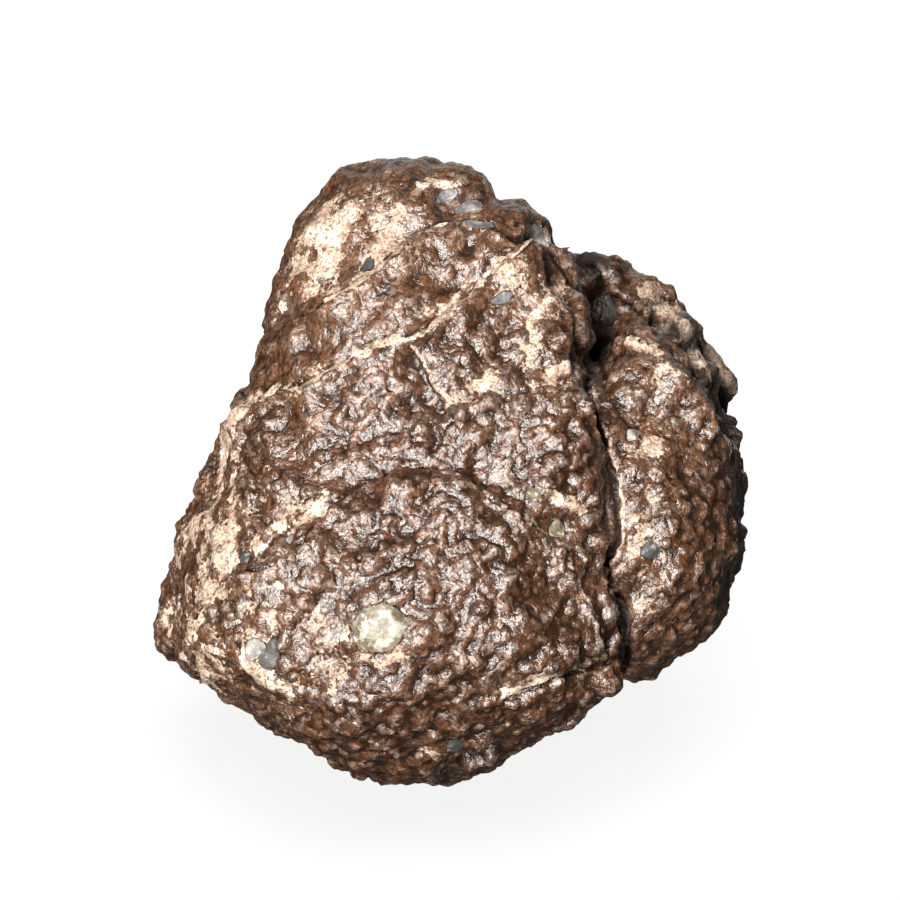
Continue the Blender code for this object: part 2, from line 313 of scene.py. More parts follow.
# %% Sink the cracks
# (what it is, line, depth and half width in mm)
CRACKS = (
    ("fissure", (
        (578, 352), (588, 376), (586, 396), (598, 430), (607, 465), (613, 500), (617, 536), (606, 562),
        (611, 590), (624, 618), (628, 655), (616, 690)), 1.5, 0.26),
    ("under the belly", ((618, 655), (590, 668), (560, 676), (530, 690), (505, 700)), 0.9, 0.3),
    ("hollow behind the plate", (
        (556, 240), (580, 262), (594, 286), (602, 312), (604, 338), (592, 362)), 3.2, 0.8),
    ("gap before the slab", (
        (656, 318), (678, 330), (698, 350), (710, 376), (724, 406), (738, 432)), 2.4, 0.7),
    ("at the bottom", ((446, 772), (462, 762), (482, 756), (500, 752)), 1.4, 0.5),
    ("beside the belly", ((172, 655), (166, 625), (173, 590), (186, 566)), 0.5, 0.25),
)

cracks = np.zeros(len(points))
for _, line, depth, half_width in CRACKS:
    distance, _ = beside_line(line)
    cracks -= depth * bell(distance, half_width)
cracks *= facing
print("the deepest crack goes in by", round(float(-cracks.min()), 2), "mm")

# %% [markdown]
# ## Places that no light reaches
#
# The real fissure and hollows go in further than these grooves, so they are
# nearly black inside. Digging deeper would tear the skin. Instead the floor of
# each is marked here, and the material paints shade there: it darkens and
# dulls what is marked.

# %% Mark the deep places
DEEP_FADE = 1.6  # a mark is gone at this many times its half width
JUST_SEEN = 0.02

# (what it is, line, half width in mm)
DEEP_PLACES = (
    ("fissure", (
        (590, 356), (588, 378), (586, 396), (598, 430), (607, 465), (613, 500), (617, 536), (606, 562),
        (611, 590), (624, 618), (628, 655)), 0.16),
    ("hollow behind the plate", (
        (562, 246), (584, 262), (597, 286), (603, 312), (604, 336), (594, 356)), 0.8),
    ("hollow's upper end", ((556, 244), (576, 250), (598, 262)), 0.8),
    ("gap before the slab, upper part", ((668, 322), (684, 334), (694, 348)), 0.7),
    ("gap before the slab, lower part", ((708, 376), (722, 400), (734, 424)), 0.8),
)

deep = np.zeros(len(points))
for _, line, reach in DEEP_PLACES:
    distance, _ = beside_line(line)
    deep = np.maximum(deep, np.clip(DEEP_FADE - distance / reach, 0.0, 1.0))
deep *= facing > JUST_SEEN
print("points in deep places:", int((deep > 0.5).sum()))

# %% [markdown]
# ## Ridges and swells
#
# Between the seams the surface runs in low ridges, nearly all from the lower
# left to the upper right, along the grain of the plates. Noise that is
# stretched along that grain gives them. The same noise goes all round the
# stone, so the sides that the picture hides are not plainer than the front.

# %% Ridges along the grain
GRAIN_TILT = math.radians(38)
RIDGE_LENGTH = 8.0  # mm
RIDGE_WIDTH = 2.6
RIDGE_DEPTH = 5.0  # towards the back of the stone
RIDGE_HEIGHT = 0.50
SWELL_SIZE = 3.4
SWELL_HEIGHT = 0.24

across_grain = points[:, 0] * math.sin(GRAIN_TILT) - points[:, 2] * math.cos(GRAIN_TILT)
along_grain = points[:, 0] * math.cos(GRAIN_TILT) + points[:, 2] * math.sin(GRAIN_TILT)
grain = np.stack((across_grain / RIDGE_WIDTH, along_grain / RIDGE_LENGTH, points[:, 1] / RIDGE_DEPTH), axis=1)
ridges = rough(grain, 1.0, 2, 5.0)
swells = rough(points, SWELL_SIZE, 3, 21.0)
relief = RIDGE_HEIGHT * ridges + SWELL_HEIGHT * swells
print("ridges and swells:", round(float(relief.min()), 2), "to", round(float(relief.max()), 2), "mm")

# %% [markdown]
# ## The beads
#
# The beads are chondrules: drops of rock, mostly about a millimetre across,
# that stand out where the softer stone between them has worn away. Each is a
# spherical cap. Where caps meet, the higher one wins, which leaves the sharp
# creases that real beads have. Thousands of separate balls would give the
# same look for far more triangles, and their hidden halves would be wasted.
# Here and there a bead has dropped out and left its round socket.

# %% Find the points near a point
finder = kdtree.KDTree(len(points))
for index, point in enumerate(points):
    finder.insert(point, index)
finder.balance()
print("points that can be looked up:", len(points))

# %% Scatter caps over the skin
TRIES = 3  # places drawn for each cap that is wanted
SMALLEST, LARGEST = 0.5, 1.7  # of the usual radius
SOCKET_DEPTH = 0.8  # of the height that the bead had


def scatter_caps(count, radius, spread, standing, crowding, socket_share=0.0):
    """Spherical caps at random places: their relief in mm, and a random shade for each."""
    candidates = rng.choice(len(points), size=min(count * TRIES, len(points)), replace=False)
    kept = candidates[rng.random(len(candidates)) < crowding[candidates]][:count]
    radii = radius * np.exp(rng.normal(0.0, spread, len(kept)))
    radii = np.clip(radii, SMALLEST * radius, LARGEST * radius)
    stands = rng.uniform(*standing, len(kept))
    sockets = rng.random(len(kept)) < socket_share
    heights = np.zeros(len(points))
    shades = np.zeros(len(points))
    for middle, reach, stand, is_socket in zip(kept, radii, stands, sockets):
        shade = rng.random()
        for _, index, distance in finder.find_range(Vector(points[middle]), reach):
            height = math.sqrt(max(reach**2 - distance**2, 0.0)) - reach * (1.0 - stand)
            if is_socket:
                heights[index] = min(heights[index], -SOCKET_DEPTH * max(height, 0.0))
            elif height > heights[index]:
                heights[index] = height
                shades[index] = shade
    print(len(kept), "caps, of which", int(sockets.sum()), "have dropped out")
    return heights, shades


print("caps keep between", SMALLEST, "and", LARGEST, "of the usual radius")

# %% How knobbly each place is
# (what it is, across, down, width, height in pixels, turn, how knobbly it is)
KNOBBLY_PLACES = (
    ("belly", 440, 620, 330, 290, -20, 1.0),
    ("middle", 400, 440, 330, 150, -25, 0.75),
    ("shoulder plate", 520, 440, 150, 130, 0, 0.85),
    ("left flank", 215, 560, 130, 260, 15, 0.75),
    ("right mass", 680, 520, 130, 240, 0, 0.65),
)
LEATHERY = 0.50  # how knobbly the rest of the seen side is
HIDDEN_KNOBBLY = 0.60
HIDDEN_CHANGE = 0.25  # how much that changes over the hidden sides
HIDDEN_CHANGE_SIZE = 11.0  # mm
PLACE_FADE = 0.6  # past its rim, as a share of its size

seen_knobbly = np.full(len(points), LEATHERY)
for _, across, down, wide, high, turn, strength in KNOBBLY_PLACES:
    reach = beside_spot(across, down, wide, high, turn)
    inside = np.clip(1.0 + PLACE_FADE - reach, 0.0, PLACE_FADE)
    seen_knobbly += (strength - LEATHERY) * inside / PLACE_FADE * (seen_knobbly < strength)
hidden_knobbly = HIDDEN_KNOBBLY + HIDDEN_CHANGE * rough(points, HIDDEN_CHANGE_SIZE, 2, 67.0)
knobbly = facing * seen_knobbly + (1.0 - facing) * hidden_knobbly
crowding = np.clip(0.25 + knobbly + 0.5 * rough(points, 6.0, 2, 3.0), 0.15, 1.0)
print("knobbly from", round(float(knobbly.min()), 2), "to", round(float(knobbly.max()), 2))

# %% Lumps and beads
# radius in mm; standing is how much of the radius shows, at least and at most
LUMPS = {"count": 3000, "radius": 1.15, "spread": 0.30, "standing": (0.22, 0.42)}
BEADS = {"count": 12500, "radius": 0.50, "spread": 0.30, "standing": (0.24, 0.52), "socket_share": 0.05}
CALM_HEAD = (370, 205, 300, 280)  # across, down, width, height: the lumps are lower here
CALM_LUMPS = 0.45
CALM_BEADS = 0.25

lumps, _ = scatter_caps(crowding=crowding, **LUMPS)
beads, bead_shade = scatter_caps(crowding=crowding, **BEADS)
calm = np.clip(1.5 - beside_spot(*CALM_HEAD), 0.0, 1.0)
lumps *= (0.35 + 0.65 * knobbly) * (1.0 - CALM_LUMPS * calm)
beads *= (0.25 + 0.75 * knobbly) * (1.0 - CALM_BEADS * calm)
print("lumps stand out by up to", round(float(lumps.max()), 2), "mm, beads by", round(float(beads.max()), 2))

# %% [markdown]
# ## The large inclusions
#
# A few bigger pieces of other rock are set in the stone: a large pale green
# one low on the belly, and some blue-black ones. They are smooth where the
# rest is beaded. Separate pebbles would show a join, so each is a low,
# flat-topped dome of the skin itself, with a fine groove round it.

# %% Where the inclusions are
# (what it is, across, down, width, height in pixels, turn, how far it stands out in mm, tint)
INCLUSIONS = (
    ("pale green", 380, 628, 60, 46, -22, 0.28, "green"),
    ("belly left, dark half", 269, 656, 17, 34, 12, 0.22, "dark"),
    ("belly left, pale half", 254, 650, 17, 24, 10, 0.16, "grey"),
    ("right mass", 651, 552, 20, 18, 5, 0.35, "dark"),
    ("foot of the belly", 455, 748, 18, 15, 0, 0.35, "dark"),
    ("knob facet", 535, 234, 16, 22, -30, 0.15, "grey"),
    ("head ring", 307, 252, 24, 20, 0, 0.10, "crust"),
    ("head bead", 367, 262, 13, 12, 0, 0.30, "dark"),
    ("right bead", 633, 436, 13, 13, 0, 0.40, "grey"),
    ("plate bead", 534, 495, 13, 13, 0, 0.40, "green"),
    ("under the shoulder", 556, 529, 16, 15, 0, 0.35, "green"),
    ("left flank bead", 245, 556, 9, 15, 40, 0.25, "dark"),
    ("left bead", 288, 538, 10, 8, 0, 0.25, "grey"),
    ("head saddle, upper facet", 447, 194, 24, 12, -35, 0.10, "slate"),
    ("head saddle, middle facet", 470, 207, 30, 14, -12, 0.10, "slate"),
    ("head saddle, lower facet", 474, 226, 28, 9, 12, 0.06, "slate"),
    ("plate facet", 500, 298, 24, 11, -28, 0.03, "slate"),
)
TINTS = ("green", "dark", "grey", "slate")  # the head's ring has none: the crust covers it
print(len(INCLUSIONS), "inclusions")

# %% Set in the inclusions
SMOOTH_TO = 1.1  # of the way to the rim
SMOOTH_FADE = 5.0
RIM_AT = 1.12
RIM_HALF_WIDTH = 0.10
RIM_DEPTH = 0.18  # mm

inclusion_cover = {tint: np.full(len(points), -1.0) for tint in TINTS}
inclusion_dome = np.zeros(len(points))
inclusion_grooves = np.zeros(len(points))
smooth_here = np.zeros(len(points))
for _, across, down, wide, high, turn, stand, tint in INCLUSIONS:
    reach = beside_spot(across, down, wide, high, turn)
    if tint in TINTS:
        inside = np.where(facing > 0.1, 1.0 - reach, -1.0)
        inclusion_cover[tint] = np.maximum(inclusion_cover[tint], inside)
        smooth_here = np.maximum(smooth_here, np.clip((SMOOTH_TO - reach) * SMOOTH_FADE, 0.0, 1.0) * facing)
    dome = stand * np.clip(1.0 - reach**4, 0.0, 1.0) * (facing > 0.2)
    inclusion_dome = np.maximum(inclusion_dome, dome)
    rim = RIM_DEPTH * bell(reach - RIM_AT, RIM_HALF_WIDTH) * facing
    inclusion_grooves = np.maximum(inclusion_grooves, rim)
print("points on smooth inclusions:", int((smooth_here > 0.5).sum()))

# %% [markdown]
# ## The crust
#
# Lime has settled in the hollows as a thin, cream crust. It behaves like
# snow: it fills from the bottom and leaves the tallest beads standing out.
# So the crust is a second, smoother surface at its own level, and the stone's
# skin is whichever of the two is higher. The difference between them is kept
# for the material, which then draws the crust's edge exactly where it lies.
# The seams between the plates hold the same lime, in thin runs that stand a
# little proud. Dust is crust that is too thin to close up.

# %% Where the crust lies thick
# (what it is, half width in mm, strength, line)
CRUST_RUNS = (
    ("head, left side", 1.2, 0.8, ((345, 190), (326, 212), (310, 238), (302, 268))),
    ("head, middle", 1.2, 1.0, ((352, 208), (338, 232), (322, 226), (316, 240))),
    ("head, round the ring", 1.1, 0.9, ((296, 262), (312, 270), (328, 262), (335, 240))),
    ("head, above its edge", 1.0, 0.9, ((400, 212), (386, 236), (374, 258), (354, 282))),
    ("head, along its edge", 0.18, 1.9, (
        (322, 300), (345, 290), (380, 266), (405, 245), (428, 228), (450, 222))),
    ("head, white streak", 0.5, 1.0, ((420, 182), (447, 184))),
    ("head, below the ring", 0.8, 0.7, ((300, 290), (318, 292), (334, 288))),
    ("left edge, upper", 0.6, 0.6, ((292, 278), (284, 300), (270, 325))),
    ("long seam", 0.20, 2.1, (
        (228, 423), (245, 406), (270, 400), (300, 388), (345, 363), (400, 343), (440, 319), (470, 297),
        (505, 260), (538, 235))),
    ("long seam, thick part", 1.0, 0.9, ((230, 422), (248, 404), (272, 396))),
    ("long seam, upper part", 0.9, 0.7, ((418, 318), (446, 305), (464, 292))),
    ("long seam, middle", 0.7, 0.5, ((348, 352), (372, 345), (402, 335))),
    ("branch", 0.17, 1.5, ((412, 344), (425, 366), (440, 388), (452, 402))),
    ("above the shoulder", 0.8, 0.8, ((448, 406), (462, 394), (484, 386), (504, 380))),
    ("plate, right of the seam", 0.9, 0.7, ((498, 262), (508, 282), (530, 286))),
    ("plate, right side", 0.9, 0.9, ((528, 290), (538, 308), (530, 326), (540, 345))),
    ("plate, lower right", 0.9, 0.8, ((528, 352), (538, 372), (552, 388))),
    ("plate edge at the fissure", 0.9, 0.9, ((566, 366), (576, 372), (572, 384))),
    ("left flank, top", 0.9, 0.9, ((246, 412), (232, 432), (226, 456), (233, 482))),
    ("left flank, upper", 0.8, 0.7, ((236, 492), (246, 512), (262, 528))),
    ("left flank, middle", 1.5, 1.1, ((212, 528), (222, 548), (218, 575), (206, 600))),
    ("left flank, lower", 1.1, 1.0, ((218, 588), (204, 612), (192, 640))),
    ("left flank, by the edge", 0.7, 0.9, ((192, 520), (184, 545), (177, 565))),
    ("left flank, outer", 0.6, 0.7, ((170, 600), (163, 622), (172, 652), (190, 672))),
    ("under the flank", 0.9, 0.8, ((196, 652), (206, 676), (220, 690))),
    ("middle patch, left", 1.1, 1.0, ((292, 512), (272, 528), (258, 545))),
    ("middle patch, right", 1.0, 0.9, ((324, 496), (308, 512), (298, 532))),
    ("middle patch, lower", 0.9, 0.9, ((272, 562), (278, 578), (284, 590))),
    ("belly left, round the dark one", 1.0, 1.0, ((250, 640), (246, 662), (262, 682), (282, 688))),
    ("belly left, spots", 0.7, 0.8, ((245, 606), (250, 612))),
    ("belly, spots", 0.8, 0.8, ((268, 618), (276, 624))),
    ("belly, long spot", 0.8, 0.8, ((296, 618), (314, 612))),
    ("belly, above the green one", 0.7, 0.5, ((330, 560), (350, 572), (378, 588))),
    ("belly, under the green one", 0.7, 0.8, ((345, 640), (352, 656), (378, 664), (400, 658))),
    ("belly, lower left", 0.9, 0.7, ((325, 668), (342, 676), (330, 690))),
    ("belly, middle", 0.8, 0.5, ((490, 600), (505, 612), (498, 628))),
    ("belly's edge", 0.30, 0.9, (
        (470, 481), (492, 499), (520, 514), (546, 532), (566, 556), (580, 585), (596, 618))),
    ("under the shoulder", 0.8, 0.8, ((556, 494), (570, 500), (584, 512))),
    ("right of the fissure", 0.15, 1.4, (
        (592, 388), (603, 424), (614, 462), (622, 500), (622, 536), (612, 566))),
    ("right mass, top", 1.0, 0.8, ((628, 338), (652, 350), (676, 376))),
    ("right mass, spot", 1.0, 1.0, ((652, 442), (658, 446))),
    ("right mass, middle", 0.9, 0.7, ((640, 524), (646, 536), (634, 552))),
    ("right mass, lower", 0.8, 0.5, ((655, 580), (662, 600), (650, 622))),
    ("right edge", 0.6, 0.7, ((728, 436), (732, 452))),
    ("slab", 1.0, 0.9, ((650, 292), (668, 312), (690, 335))),
    ("slab's end", 1.0, 1.1, ((706, 352), (724, 374), (734, 392))),
    ("under the belly", 0.8, 0.8, ((505, 692), (530, 680), (560, 668))),
    ("foot", 0.7, 0.6, ((424, 752), (440, 762))),
    ("dust on the head", 3.4, 0.50, ((300, 280), (318, 235), (352, 200), (400, 228))),
    ("dust along the seam", 1.6, 0.44, ((240, 412), (300, 384), (400, 338), (470, 290), (530, 240))),
    ("dust on the plate", 3.0, 0.52, ((510, 270), (548, 310), (520, 350), (560, 385), (470, 390))),
    ("dust on the left flank", 4.0, 0.55, ((240, 430), (215, 520), (185, 600), (205, 665))),
    ("dust in the middle", 3.0, 0.45, ((270, 500), (320, 500), (270, 560), (265, 620))),
    ("dust on the belly's left", 2.6, 0.44, ((250, 620), (300, 620), (340, 660), (280, 700))),
    ("dust on the right mass", 2.6, 0.45, ((650, 345), (668, 400), (650, 450), (640, 530), (650, 600))),
)
print(len(CRUST_RUNS), "runs of crust")

# %% How thick the crust lies
THIN_SEAM = 0.25  # mm: narrower runs keep nearly the same width
THIN_SWELL = (0.85, 1.3)
WIDE_SWELL = (0.35, 1.8)  # wider runs swell and thin out by this much
RUN_FALL = 0.7  # how fast the crust thins out away from its line
HIDDEN_PATCH = 8.0  # mm: size of the patches on the hidden sides
HIDDEN_START = 0.02
HIDDEN_GAIN = 1.4
HIDDEN_MOST = 0.62

run_swell = np.clip(1.0 + 0.8 * rough(points, 2.6, 2, 47.0), *WIDE_SWELL)
seen_crust = np.zeros(len(points))
for _, half_width, strength, line in CRUST_RUNS:
    distance, _ = beside_line(line)
    swell = np.clip(run_swell, *THIN_SWELL) if half_width < THIN_SEAM else run_swell
    patch = np.exp(-((distance / (half_width * swell)) ** 2) * RUN_FALL)
    seen_crust = np.maximum(seen_crust, strength * patch)
hidden_crust = (rough(points, HIDDEN_PATCH, 4, 71.0) - HIDDEN_START) * HIDDEN_GAIN
hidden_crust = np.clip(hidden_crust, 0.0, HIDDEN_MOST) - 0.5 * relief
thickness = facing * seen_crust + (1.0 - facing) * hidden_crust
print("points under thick crust:", round(100.0 * float((thickness > 0.5).mean())), "%")

# %% The crust's own level
BARE_LEVEL = -0.16  # mm: the crust's level where there is none
FULL_LEVEL = 0.21
DRAPE = 0.5  # how much of the beads shows through it

crust_rough = 0.09 * rough(points, 2.2, 3, 53.0) + 0.06 * rough(points, 0.7, 2, 57.0)
draped = relief + DRAPE * (lumps + beads)
crust_level = draped + BARE_LEVEL + (FULL_LEVEL - BARE_LEVEL) * thickness + crust_rough
print("the crust lies up to", round(float(crust_level.max()), 2), "mm out")

# %% [markdown]
# ## Putting the surface together
#
# The rock's own relief is the ridges, the beads and a fine grain. Inclusions
# smooth the beads away, and the crust fills what lies below its level. Ledges
# and cracks carry both. The points move along the skin's normals, and none
# may sink below the flat foot that the stone rests on.

# %% Move the skin
INSET = 0.25  # mm: keeps the beads' tops near the solid's surface
FINE_HEIGHT = 0.07
FINE_SIZE = 0.75

fine = FINE_HEIGHT * rough(points, FINE_SIZE, 2, 91.0)
rock = relief + (lumps + beads + fine) * (1.0 - smooth_here) + inclusion_dome - inclusion_grooves
cover = crust_level - rock
cover[smooth_here > 0.5] = -1.0
crusted = crust_level + inclusion_dome - inclusion_grooves
surface = np.maximum(rock, crusted * (1.0 - smooth_here) + rock * smooth_here)
lift = surface + ledges + cracks - INSET
moved = points + normals * lift[:, None]
moved[:, 2] = np.maximum(moved[:, 2], 0.0)
skin.data.vertices.foreach_set("co", (moved * MM).ravel())
skin.data.update()
print("the skin moved by", round(float(lift.min()), 2), "to", round(float(lift.max()), 2), "mm")

# %% [markdown]
# ## Crevices and tops
#
# The creases are painted dark as shade, and the tops are painted pale, partly as
# wear and partly as sheen. Shader nodes see only sharp bends, so both are
# measured on the mesh: the relief is blurred over the skin, and each point
# keeps how far it lies below the blur.

# %% Measure the crevices
CREVICE_ROUNDS = 30


def blurred(values, rounds):
    """Evens values out over the skin: each round mixes a point with its neighbours."""
    edges = np.empty(len(skin.data.edges) * 2, int)
    skin.data.edges.foreach_get("vertices", edges)
    ends = np.concatenate((edges[0::2], edges[1::2]))
    others = np.concatenate((edges[1::2], edges[0::2]))
    neighbours = np.bincount(ends, minlength=len(values))
    for _ in range(rounds):
        around = np.bincount(ends, weights=values[others], minlength=len(values)) / neighbours
        values = 0.5 * values + 0.5 * around
    return values


crevice = blurred(lift, CREVICE_ROUNDS) - lift
print("crevices lie up to", round(float(crevice.max()), 2), "mm below what is around them")

# %% Keep the values on the mesh


def keep_value(name, values):
    """Stores one number per point, for the material to read."""
    attribute = skin.data.attributes.new(name, "FLOAT", "POINT")
    attribute.data.foreach_set("value", values.astype(np.float32))


keep_value("crust", cover)
keep_value("bead", bead_shade * (beads > 0.02))
keep_value("crevice", crevice)
keep_value("knobbly", knobbly)
keep_value("deep", deep)
for tint in TINTS:
    keep_value(tint + "_inclusion", inclusion_cover[tint])
print("values kept:", [kept.name for kept in skin.data.attributes if kept.data_type == "FLOAT"])

# %% [markdown]
# ## Fewer triangles, where they are not missed
#
# The even skin has more triangles than a library piece should. Collapsing
# edges keeps the creases between the beads and thins out the flat parts.
# One light round of smoothing first takes off the sharpest edges, as wear does.

# %% Thin the skin out
SKIN_TRIANGLES = 198000

skin.data.calc_loop_triangles()
worn_edges = skin.modifiers.new("worn_edges", "SMOOTH")
worn_edges.factor = SMOOTHING
worn_edges.iterations = 1
thin_out = skin.modifiers.new("thin_out", "DECIMATE")
thin_out.ratio = min(1.0, SKIN_TRIANGLES / len(skin.data.loop_triangles))
thin_out.use_collapse_triangulate = True
settle_modifiers(skin)
skin.data.shade_smooth()
print("triangles in the skin:", len(skin.data.polygons))

# %% [markdown]
# ## Writing shader maths as Python
#
# A node tree is easier to read as sums. `Wire` wraps one socket, and adding
# or multiplying wires adds Math nodes behind the scenes. Colours are mixed
# with a Mix node, because a Math node would turn them grey.

# %% Sums and products of sockets


class Wire:
    """One output of a node. Sums and products of wires become Math nodes."""

    def __init__(self, socket):
        self.socket = socket

    def math(self, operation, *others):
        paint = Paint.of(self.socket.id_data)
        return paint.node("ShaderNodeMath", {"operation": operation}, dict(enumerate((self, *others))))

    def __add__(self, other):
        return self.math("ADD", other)

    __radd__ = __add__

    def __mul__(self, other):
        return self.math("MULTIPLY", other)

    __rmul__ = __mul__

    def __sub__(self, other):
        return self.math("SUBTRACT", other)

    def __rsub__(self, other):
        return (self * -1.0) + other

    def between(self, low, high):
        """0 below low, 1 above high, and a smooth rise from one to the other."""
        paint = Paint.of(self.socket.id_data)
        settings = {"interpolation_type": "SMOOTHSTEP"}
        return paint.node("ShaderNodeMapRange", settings, {"Value": self, "From Min": low, "From Max": high})


print("wires can be added, multiplied and eased")

# %% A material and its nodes


class Paint:
    """A material and its nodes."""

    made = {}

    def __init__(self, name):
        self.material = bpy.data.materials.new(name)
        self.material.use_nodes = True
        self.tree = self.material.node_tree
        self.shader = self.tree.nodes["Principled BSDF"]
        Paint.made[name] = self

    @classmethod
    def of(cls, tree):
        return next(paint for paint in cls.made.values() if paint.tree == tree)

    def node(self, kind, settings=None, inputs=None, output=0):
        """Adds a node: its settings come first, then its sockets' values or links."""
        node = self.tree.nodes.new(kind)
        for name, value in (settings or {}).items():
            setattr(node, name, value)
        for key, value in (inputs or {}).items():
            self.feed(node.inputs[key], value)
        return Wire(node.outputs[output])

    def feed(self, socket, value):
        """Links a wire to a socket, or sets the socket to a plain value."""
        if isinstance(value, Wire):
            self.tree.links.new(value.socket, socket)
        else:
            socket.default_value = value

    def mix(self, first, second, share):
        """From the first colour to the second, by share."""
        colours = [(*c, 1.0) if isinstance(c, tuple) and len(c) == 3 else c for c in (first, second)]
        settings = {"data_type": "RGBA"}
        return self.node("ShaderNodeMix", settings, {0: share, 6: colours[0], 7: colours[1]}, output=2)


print("a new material starts with a shader and its output")

# %% [markdown]
# ## Patterns for stone
#
# Stone is patterned at every size: broad stains, blotches, specks. All are
# noise in the stone's own space, so none has a seam or stretches. The knobs
# are Voronoi cells, each a dome. Plain cells look like a net, so noise bends
# them first. Each also gives a random shade, by which its colour is chosen.

# %% Stone patterns
KNOB_BEND = 1.1  # of the knobs' size
KNOB_BEND_SIZE = 1.4


class StonePaint(Paint):
    """A material with patterns that are measured in mm on the stone."""

    def value(self, name):
        """A number kept on the mesh."""
        return self.node("ShaderNodeAttribute", {"attribute_name": name}, output=2)

    def place(self, shift):
        """Where on the stone a point is, moved on so that no two patterns agree."""
        where = self.node("ShaderNodeTexCoord", output=3)
        return self.node("ShaderNodeVectorMath", {"operation": "ADD"}, {0: where, 1: (shift, shift, shift)})

    def grain(self, size, detail=2.0, roughness=0.5, shift=0.0):
        """Noise between 0 and 1, with spots of the given size in mm."""
        inputs = {"Scale": 1.0 / (size * MM), "Detail": detail, "Roughness": roughness}
        return self.node("ShaderNodeTexNoise", None, {"Vector": self.place(shift), **inputs})

    def knobs(self, size, shift=0.0):
        """Domes about as wide as the size in mm, which meet in creases, and a random shade for each."""
        inputs = {"Vector": self.place(shift), "Scale": 1.0 / (size * KNOB_BEND_SIZE * MM), "Detail": 1.0}
        bend = self.node("ShaderNodeTexNoise", None, inputs, output=1)
        inputs = {0: bend, "Scale": size * KNOB_BEND * MM}
        bend = self.node("ShaderNodeVectorMath", {"operation": "SCALE"}, inputs)
        where = self.node("ShaderNodeVectorMath", {"operation": "ADD"}, {0: self.place(shift), 1: bend})
        inputs = {"Vector": where, "Scale": 1.0 / (size * MM)}
        away = self.node("ShaderNodeTexVoronoi", {"feature": "F1"}, inputs)
        shade = self.node("ShaderNodeSeparateColor", None, {0: Wire(away.socket.node.outputs["Color"])})
        return 1.0 - away * away, shade


print("patterns: values, grain and knobs")

# %% [markdown]
# ## The stone's finish
#
# Desert varnish is a thin, hard skin of iron and manganese oxides: chocolate
# brown, redder where there is more iron, nearly black where there is more
# manganese, and mottled with tan where the stone is smooth like leather. One
# material holds every finish of the stone and chooses between them with the
# values kept on the mesh, so each colour ends where its surface does.
# Separate materials would meet in a jagged line along the triangles.

# %% Varnish
VARNISH = (0.055, 0.023, 0.010)
VARNISH_RED = (0.092, 0.034, 0.012)
# Nearly black: manganese-rich varnish, and also the painted shade in the creases and joints.
BLACK_VARNISH_AND_SHADE = (0.013, 0.005, 0.002)
VARNISH_TAN = (0.175, 0.100, 0.062)

paint = StonePaint("varnished_stone")
broad = paint.grain(5.0, 3.0)
patchy = paint.grain(1.3, 3.0, 0.6, 0.3)
tiny = paint.grain(0.32, 2.0, 0.6, 0.7)
varnish = paint.mix(VARNISH, VARNISH_RED, broad.between(0.45, 0.68))
varnish = paint.mix(varnish, BLACK_VARNISH_AND_SHADE, patchy.between(0.50, 0.70) * 0.75)
mottle = paint.grain(0.50, 4.0, 0.70, 1.9)
leathery = 1.0 - paint.value("knobbly").between(0.45, 0.95)
varnish = paint.mix(varnish, VARNISH_TAN, mottle.between(0.49, 0.60) * (leathery * 0.45 + 0.35))
tanned = paint.grain(1.5, 4.0, 0.65, 2.7).between(0.48, 0.60) * (leathery * 0.50 + 0.15)
varnish = paint.mix(varnish, VARNISH_TAN, tanned * (mottle.between(0.42, 0.56) * 0.6 + 0.4))
print("varnish:", len(paint.tree.nodes), "nodes")

# %% Beads of other colours, and rust
BEAD_PALE = (0.300, 0.225, 0.180)
BEAD_GREY = (0.080, 0.082, 0.076)
RUST = (0.200, 0.082, 0.030)

bead = paint.value("bead")
varnish = paint.mix(varnish, BEAD_PALE, bead.between(0.80, 0.95) * tiny.between(0.35, 0.6) * 0.7)
varnish = paint.mix(varnish, BEAD_GREY, bead.between(0.60, 0.66) * (1.0 - bead.between(0.72, 0.78)) * 0.8)

rusty = paint.grain(3.4, 3.0, 0.6, 0.9).between(0.52, 0.66)
varnish = paint.mix(varnish, RUST, rusty * tiny.between(0.42, 0.60) * (leathery * 0.25 + 0.32))
flecks = paint.grain(0.36, 3.0, 0.60, 5.3).between(0.52, 0.60)
varnish = paint.mix(varnish, RUST, flecks * (leathery * 0.30 + 0.08))
print("beads and rust added:", len(paint.tree.nodes), "nodes")

# %% [markdown]
# ## Knobs in clusters
#
# Between the modelled beads the stone is packed with smaller ones, of many
# kinds of rock. A colour for every knob would look like confetti, so only
# those in scattered clusters get one, and only on their tops.

# %% Colour the knobs
# Pale tops: the colour of pale knobs, and of the worn tops with their painted sheen.
PALE_TOP_COLOUR = (0.360, 0.280, 0.240)
BEAD_OLIVE = (0.110, 0.100, 0.075)
KNOB_SIZE = 0.95  # mm
SHADE_EDGE = 0.01

# (colour, lowest and highest shade of the knobs that have it, how strongly)
KNOB_COLOURS = (
    (PALE_TOP_COLOUR, 0.00, 0.12, 0.45),
    (VARNISH_TAN, 0.12, 0.26, 0.50),
    (RUST, 0.26, 0.36, 0.30),
    (BEAD_OLIVE, 0.36, 0.50, 0.60),
    (BLACK_VARNISH_AND_SHADE, 0.50, 0.70, 0.60),
)

knobs, shade = paint.knobs(KNOB_SIZE, 4.4)
clusters = paint.grain(1.7, 3.0, 0.6, 2.2).between(0.44, 0.56)
for knob_colour, low, high, strength in KNOB_COLOURS:
    chosen = shade.between(low - SHADE_EDGE, low) * (1.0 - shade.between(high - SHADE_EDGE, high))
    varnish = paint.mix(varnish, knob_colour, chosen * clusters * strength * knobs.between(0.55, 0.80))
print("knobs added:", len(paint.tree.nodes), "nodes")
